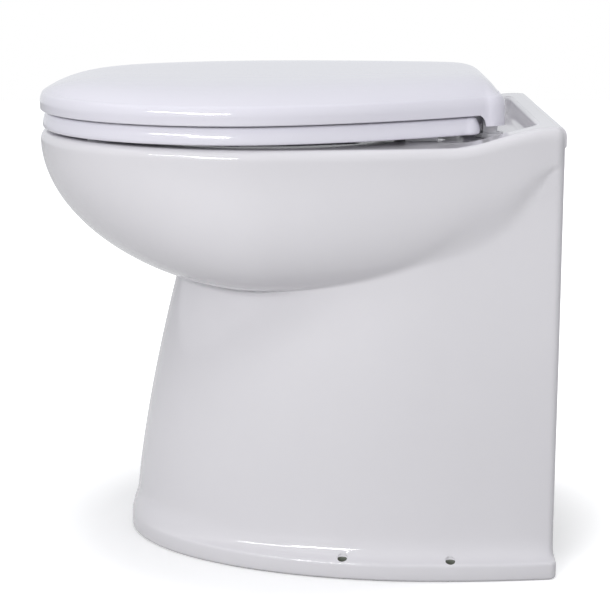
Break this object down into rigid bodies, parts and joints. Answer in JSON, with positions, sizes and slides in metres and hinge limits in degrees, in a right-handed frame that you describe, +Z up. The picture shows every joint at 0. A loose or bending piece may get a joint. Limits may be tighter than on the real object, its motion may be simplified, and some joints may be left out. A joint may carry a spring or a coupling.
{
  "type": "electric marine toilet",
  "caption": "Low compact boat toilet: one-piece glazed china bowl on a skirted pedestal, hinged seat and domed lid, with a macerator pump, rinse valve and hoses inside.",
  "frame": {"origin": "on the floor, under the middle of the outline in plan", "axes": "+Z up, -Y towards the front of the bowl, +Y towards the bulkhead behind, +X towards the right of someone who stands before the bowl"},
  "size_m": [0.366, 0.494, 0.4587],
  "materials": {
    "glazed_china": "white vitreous china with a smooth, very glossy glaze",
    "moulded_seat": "white moulded thermoset, polished",
    "pale_rubber": "pale soft buffers",
    "black_rubber": "matt black moulded rubber",
    "stainless": "plain stainless steel",
    "pump_plastic": "dark glass-filled moulding",
    "white_plastic": "white moulded plastic",
    "motor_paint": "dark grey coating",
    "copper": "enamelled copper wire and bare copper segments",
    "carbon": "pressed carbon, matt",
    "magnet_grey": "sintered ferrite, matt",
    "brass": "plain machined brass",
    "clear_hose": "cloudy flexible hose"
  },
  "bodies": {
    "toilet": {"china_bowl": "glazed_china", "left_hinge_post": "white_plastic", "left_hinge_pin": "stainless", "left_hinge_bolt": "stainless", "left_hinge_nut": "white_plastic", "right_hinge_post": "white_plastic", "right_hinge_pin": "stainless", "right_hinge_bolt": "stainless", "right_hinge_nut": "white_plastic", "bowl_outlet_seal": "black_rubber", "inlet_elbow": "pump_plastic", "macerator_housing": "pump_plastic", "seal_plate": "pump_plastic", "housing_screw_1": "stainless", "housing_screw_2": "stainless", "housing_screw_3": "stainless", "wear_plate": "stainless", "shaft_seal": "black_rubber", "field_magnet": "magnet_grey", "carbon_brush_left": "carbon", "carbon_brush_right": "carbon", "front_bearing": "stainless", "rear_bearing": "stainless", "motor_can": "motor_paint", "motor_end_cap": "motor_paint", "cable_gland": "black_rubber", "pump_base": "motor_paint", "motor_strap": "stainless", "strap_screw_left": "stainless", "strap_screw_right": "stainless", "front_rubber_strip": "black_rubber", "back_rubber_strip": "black_rubber", "discharge_elbow": "pump_plastic", "joker_valve": "black_rubber", "discharge_hose_tail": "pump_plastic", "discharge_union_nut": "pump_plastic", "valve_body": "brass", "valve_core_tube": "brass", "plunger_spring": "stainless", "valve_coil": "pump_plastic", "coil_nut": "stainless", "water_inlet_tail": "brass", "rinse_hose": "clear_hose", "rinse_nozzle": "white_plastic", "nozzle_nut": "white_plastic"},
    "lid": {"lid": "moulded_seat", "lid_buffer_left": "pale_rubber", "lid_buffer_right": "pale_rubber"},
    "seat": {"seat_ring": "moulded_seat", "seat_buffer_front_left": "pale_rubber", "seat_buffer_front_right": "pale_rubber", "seat_buffer_rear_left": "pale_rubber", "seat_buffer_rear_right": "pale_rubber"},
    "rotor": {"motor_shaft": "stainless", "chopper_blade": "stainless", "impeller": "pump_plastic", "armature": "copper", "commutator": "copper"},
    "plunger": {"valve_plunger": "stainless"}
  },
  "joints": [
    {"name": "lid_hinge", "type": "hinge", "parent": "toilet", "child": "lid", "pos_m": [0, 0.184, 0.425], "axis": [-1, 0, 0], "range_deg": [0, 93]},
    {"name": "seat_hinge", "type": "hinge", "parent": "toilet", "child": "seat", "pos_m": [0, 0.184, 0.425], "axis": [-1, 0, 0], "range_deg": [0, 85]},
    {"name": "pump_spin", "type": "hinge", "parent": "toilet", "child": "rotor", "pos_m": [0, 0.1, 0.078], "axis": [0, 1, 0], "continuous": true},
    {"name": "plunger_lift", "type": "slide", "parent": "toilet", "child": "plunger", "axis": [0, 0, 1], "range_m": [0, 0.003], "stiffness_N_per_m": 200, "springref_m": -0.002, "deforming": ["plunger_spring"]}
  ],
  "couplings": [
    {"joint": "seat_hinge", "follows": "lid_hinge", "ratio": 0.905}
  ]
}
